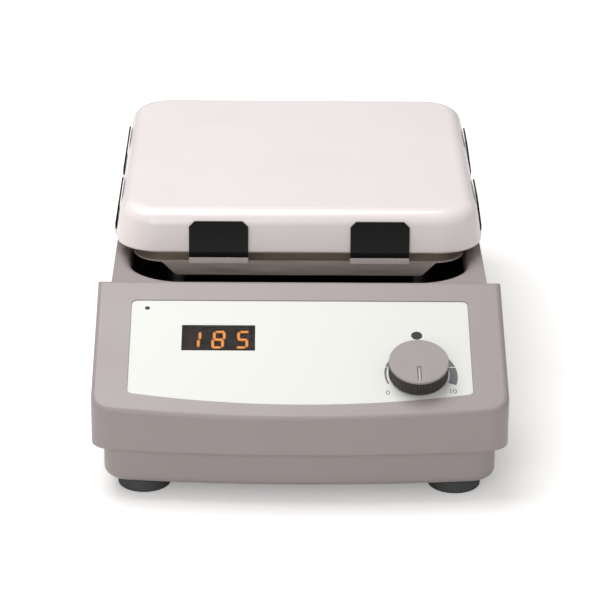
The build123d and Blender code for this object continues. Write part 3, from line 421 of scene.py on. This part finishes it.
# The well liner's black stands partly for the deep shade under the plate: part black coat, part painted shade.
well_black_and_painted_shade = make_moulded("black_coat_and_painted_shade", "2B2826", 0.42, 1.2 * MM, 0.02 * MM)
foot_rubber = make_moulded("grey_rubber", "454947", 0.72, 0.8 * MM, 0.03 * MM)
board_green = make_moulded("green_solder_mask", "14532D", 0.35, 2.0 * MM, 0.01 * MM)
terminal_green = make_moulded("green_terminal_nylon", "2E7D4F", 0.45, 0.5 * MM, 0.01 * MM)
core_varnish = make_moulded("varnished_laminations", "3A332E", 0.4, 0.5 * MM, 0.02 * MM)
capacitor_sleeve = make_moulded("shrunk_blue_sleeve", "1C2350", 0.3, 1.5 * MM, 0.01 * MM)
fibre_board = make_moulded("pressed_ceramic_fibre", "E6E1D6", 0.85, 1.4 * MM, 0.08 * MM)
lamp_lens = make_moulded("unlit_lamp_lens", "151314", 0.5, 2.0 * MM, 0.005 * MM)
module_face = make_moulded("display_module_face", "1A0F0D", 0.6, 1.0 * MM, 0.01 * MM)
print("finishes so far", len(bpy.data.materials))

# %% [markdown]
# The display shows amber digits behind a smoked red window. The lit bars give light of their own; the dark
# bars are a dull red that glows faintly as well, a painted glow on bars that are off, and the window is a thin
# pane that darkens what is behind it. Both panes let light through by their alpha, which is simple and renders
# quickly. The fuse's tube is clear glass.


# %% Display finishes
def make_glow(name, colour, glow, strength):
    """A bar that gives light of its own."""
    material, _, shader = start_material(name, colour, 0.5)
    shader.inputs["Emission Color"].default_value = linear(glow)
    shader.inputs["Emission Strength"].default_value = strength
    return material


lit_bar = make_glow("lit_amber_bar", "FF9A2E", "FFA040", strength=3.4)
# The unlit bars glow faintly too: a painted glow on bars that give no light.
faintly_glowing_dark_bar = make_glow("unlit_red_bar_painted_glow", "5A1C12", "5A1A10", strength=0.5)


def make_window_glass():
    """A thin dark pane that lets half of the light through."""
    material = start_material("smoked_red_window", "120503", 0.1, Alpha=0.5, Specular_IOR_Level=0.12)[0]
    material.surface_render_method = "DITHERED"
    return material


window_glass = make_window_glass()
fuse_glass = start_material("fuse_tube_glass", "DCE6E6", 0.05, Alpha=0.45)[0]
print("display", lit_bar.name, faintly_glowing_dark_bar.name, window_glass.name)

# %% [markdown]
# Each construction node takes its finish by name. Nothing is moved: only the material slots change.

# %% Finishes of the construction nodes
FINISHES = {
    "upper_housing": housing_paint,
    "lower_housing": housing_paint,
    "front_panel": overlay_film,
    "display_window": window_glass,
    "display_module": module_face,
    "display_lit_segments": lit_bar,
    "display_dark_segments": faintly_glowing_dark_bar,
    "heat_lamp": lamp_lens,
    "power_lamp": lamp_lens,
    "control_board": board_green,
    "power_board": board_green,
    "control_knob": knob_plastic,
    "encoder_bushing": turned_brass,
    "encoder_nut": turned_brass,
    "encoder_plunger": black_plastic,
    "transformer": core_varnish,
    "capacitor": capacitor_sleeve,
    "power_heatsink": plain_aluminium,
    "terminal_block": terminal_green,
    "well_liner": well_black_and_painted_shade,
    "heat_shield_tray": tray_steel,
    "insulation_block": fibre_board,
    "heater_base": fibre_board,
    "heater_coil": heater_sheath,
    "temperature_probe": tray_steel,
    "probe_spring": tray_steel,
    "top_plate": plate_enamel,
    "rear_panel": black_plastic,
    "power_inlet": black_plastic,
    "inlet_pins": turned_brass,
    "fuse_drawer": black_plastic,
    "fuse": fuse_glass,
    "switch_body": black_plastic,
    "switch_rocker": gloss_black,
    "rod_socket": plain_aluminium,
}


def finish_of(name):
    """The finish of a node: its own, or that of its family."""
    if name in FINISHES:
        return FINISHES[name]
    if name.startswith("plate_clip"):
        return clip_finish
    if name.startswith("foot_") and name != "foot_screws":
        return foot_rubber
    return zinc_plate


for name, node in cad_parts.items():
    node.data.materials.clear()
    node.data.materials.append(finish_of(name))
print("finishes", len({finish_of(n).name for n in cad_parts}))

# %% [markdown]
# The dial scale is printed in grey ink on the overlay: a crescent that starts thin at the lower left, runs
# over the top of the knob and grows thick towards the lower right, with a tick at each side and plain numbers
# at its ends. Ink is a film, so each stroke starts as a grid one unit wide, and a function says where on the
# panel each of its corners goes. For the crescent, the columns become the steps round the arc and the rows
# the width.

# %% Printed dial scale
INK_LIFT = 0.03 * MM
SCALE_INNER = 16.4 * MM
SCALE_THIN = 0.9 * MM
SCALE_THICK = 4.4 * MM
SCALE_START = math.radians(203)
SCALE_SWEEP = math.radians(-224)
SCALE_GROWTH = 1.3
SCALE_STEPS = 72
GRID_HALF = 0.5
TICK_WIDTH = 0.5 * MM
TICK_UP = 5.2 * MM
LEFT_TICK_RIGHT, LEFT_TICK_LENGTH = -17.6 * MM, 3.2 * MM
RIGHT_TICK_RIGHT, RIGHT_TICK_LENGTH = 18.2 * MM, 4.48 * MM
NUMBER_HEIGHT = 3.0 * MM
NUMERAL_SHARE = 0.7
LOW_NUMBER_RIGHT, LOW_NUMBER_UP = -16.0 * MM, -12.9 * MM
HIGH_NUMBER_RIGHT, HIGH_NUMBER_UP = 17.5 * MM, -11.9 * MM
panel_turn = Matrix((Vector((1, 0, 0)), panel_up, panel_out)).transposed()
scale_ink = make_moulded("matt_grey_printing_ink", "6B686B", 0.5, 0.4 * MM, 0.004 * MM)
white_ink = make_moulded("matt_white_printing_ink", "EDEDE8", 0.5, 0.4 * MM, 0.004 * MM)


def finish_piece(piece, name, material, body):
    """Names a new piece, gives it its finish and lets it ride a body."""
    piece.name = name
    piece.data.name = name
    piece.data.materials.clear()
    piece.data.materials.append(material)
    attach(piece, body)
    return piece


def make_film(name, columns, rows, place, material, body):
    """A film of ink or paint: a unit grid whose corners are laid where the place function says."""
    bpy.ops.mesh.primitive_grid_add(x_subdivisions=columns, y_subdivisions=rows, size=2 * GRID_HALF)
    film = bpy.context.object
    for vertex in film.data.vertices:
        vertex.co = place(vertex.co.x, vertex.co.y)
    film.data.update()
    return finish_piece(film, name, material, body)


def scale_place(x, y):
    """Columns go round the knob and rows across the crescent, which grows along its way."""
    along = x + GRID_HALF
    across = y + GRID_HALF
    band_width = SCALE_THIN + (SCALE_THICK - SCALE_THIN) * along**SCALE_GROWTH
    radius = SCALE_INNER + band_width * across
    angle = SCALE_START + SCALE_SWEEP * along
    return on_panel(radius * math.cos(angle), radius * math.sin(angle), INK_LIFT)


def make_tick(name, right, length):
    """A short level stroke of white ink over the crescent."""

    def tick_place(x, y):
        return on_panel(right + x * length, TICK_UP + y * TICK_WIDTH, 2 * INK_LIFT)

    return make_film(name, 6, 2, tick_place, white_ink, "housing")


def make_number(name, text, right, up):
    """A plain printed number, converted from a text curve to a mesh."""
    bpy.ops.object.select_all(action="DESELECT")
    bpy.ops.object.text_add()
    curve = bpy.context.object
    curve.data.body = text
    curve.data.size = NUMBER_HEIGHT / NUMERAL_SHARE
    curve.data.align_x = "CENTER"
    curve.data.align_y = "CENTER"
    bpy.ops.object.convert(target="MESH")
    number = bpy.context.object
    number.data.transform(panel_turn.to_4x4())
    number.data.transform(Matrix.Translation(on_panel(right, up, INK_LIFT)))
    return finish_piece(number, name, scale_ink, "housing")


make_film("dial_scale_band", SCALE_STEPS, 3, scale_place, scale_ink, "housing")
make_tick("dial_tick_left", LEFT_TICK_RIGHT, LEFT_TICK_LENGTH)
make_tick("dial_tick_right", RIGHT_TICK_RIGHT, RIGHT_TICK_LENGTH)
make_number("dial_number_low", "0", LOW_NUMBER_RIGHT, LOW_NUMBER_UP)
make_number("dial_number_high", "10", HIGH_NUMBER_RIGHT, HIGH_NUMBER_UP)

# %% [markdown]
# The pointer is a slot in the knob's cap, filled with paint: a dark line along each side of a light one. Both
# are strips of film that lie on the slot's floor, the light one a little higher. They ride the knob, so they
# turn with it. Heights on the knob start from the housing's slope, which is higher than the panel's face.

# %% Painted pointer
POINTER_MIDDLE = -8.7 * MM
POINTER_LENGTH = 9.8 * MM
POINTER_FLOOR = 9.1 * MM
DARK_STRIP_WIDTH = 2.0 * MM
LIGHT_STRIP_WIDTH = 1.0 * MM
pointer_dark = make_moulded("dark_grey_slot_paint", "5F595A", 0.5, 0.4 * MM, 0.004 * MM)
pointer_light = make_moulded("light_grey_slot_paint", "B4ACAC", 0.5, 0.4 * MM, 0.004 * MM)


def make_pointer_strip(name, width, lift, material):
    """One strip of paint along the slot, lifted a little from its floor."""
    out = POINTER_FLOOR + PANEL_SURFACE_DROP + lift

    def strip_place(x, y):
        return on_panel(x * width, POINTER_MIDDLE + y * POINTER_LENGTH, out)

    return make_film(name, 2, 8, strip_place, material, "knob")


make_pointer_strip("pointer_paint_dark", DARK_STRIP_WIDTH, INK_LIFT, pointer_dark)
make_pointer_strip("pointer_paint_light", LIGHT_STRIP_WIDTH, 2 * INK_LIFT, pointer_light)

# %% [markdown]
# Light and floor. A large soft lamp overhead on the left models the housing and a weaker one fills the front.
# The sky is white where the camera sees it, and dimmer where it lights the object, a little brighter overhead
# than at the horizon. The floor is white too, with a faint glow that only the camera sees, so that it runs
# into the background.

# %% Stage
FLOOR_SIZE = 6.0
FLOOR_GLOW = 0.27
SKY_LOW = 0.34
SKY_HIGH = 0.5
SKY_TOP = 0.9
WHITE = "FFFFFF"


def make_floor():
    """A white floor that glows faintly for the camera alone."""
    bpy.ops.mesh.primitive_plane_add(size=FLOOR_SIZE, location=(0, 0, 0))
    floor = bpy.context.object
    floor.name = "floor"
    material, tree, shader = start_material("white_paper_sweep", "F6F4F2", 0.9)
    path = add_node(tree, "ShaderNodeLightPath")
    glow = add_node(tree, "ShaderNodeEmission", values={"Color": linear(WHITE), "Strength": FLOOR_GLOW})
    add = add_node(tree, "ShaderNodeAddShader", links={0: shader.outputs[0], 1: glow.outputs[0]})
    mix = add_node(
        tree,
        "ShaderNodeMixShader",
        links={0: path.outputs["Is Camera Ray"], 1: shader.outputs[0], 2: add.outputs[0]},
    )
    tree.links.new(mix.outputs[0], tree.nodes["Material Output"].inputs["Surface"])
    floor.data.materials.append(material)


def make_lamp(name, place, aim, size, power):
    """A soft square lamp at a place, turned to its aim, in metres and watts."""
    data = bpy.data.lights.new(name, "AREA")
    data.size = size
    data.energy = power
    lamp = bpy.data.objects.new(name, data)
    bpy.context.scene.collection.objects.link(lamp)
    lamp.location = place
    lamp.rotation_euler = (Vector(aim) - Vector(place)).to_track_quat("-Z", "Y").to_euler()


def make_world():
    """A sky that is white for the camera and dimmer as a light."""
    world = bpy.data.worlds.new("studio")
    bpy.context.scene.world = world
    world.use_nodes = True
    tree = world.node_tree
    tree.nodes.clear()
    place = add_node(tree, "ShaderNodeTexCoord")
    parts = add_node(tree, "ShaderNodeSeparateXYZ", links={"Vector": place.outputs["Generated"]})
    lift = add_node(
        tree,
        "ShaderNodeMapRange",
        values={"From Min": 0.0, "From Max": SKY_TOP, "To Min": SKY_LOW, "To Max": SKY_HIGH},
        links={"Value": parts.outputs["Z"]},
    )
    soft = add_node(tree, "ShaderNodeBackground", links={"Strength": lift.outputs["Result"]})
    white = add_node(tree, "ShaderNodeBackground", values={"Strength": 1.0})
    for node in (soft, white):
        node.inputs["Color"].default_value = linear(WHITE)
    path = add_node(tree, "ShaderNodeLightPath")
    mix = add_node(
        tree,
        "ShaderNodeMixShader",
        links={0: path.outputs["Is Camera Ray"], 1: soft.outputs[0], 2: white.outputs[0]},
    )
    output = add_node(tree, "ShaderNodeOutputWorld")
    tree.links.new(mix.outputs[0], output.inputs["Surface"])


make_floor()
make_world()
make_lamp("overhead", place=(-0.35, 0.1, 1.25), aim=(0, 0, 0.05), size=1.0, power=12.5)
make_lamp("front_fill", place=(-0.45, -1.5, 0.75), aim=(0, 0, 0.08), size=0.9, power=6.0)
print("lamps", len(bpy.data.lights))
bpy.context.scene.view_settings.view_transform = "Standard"
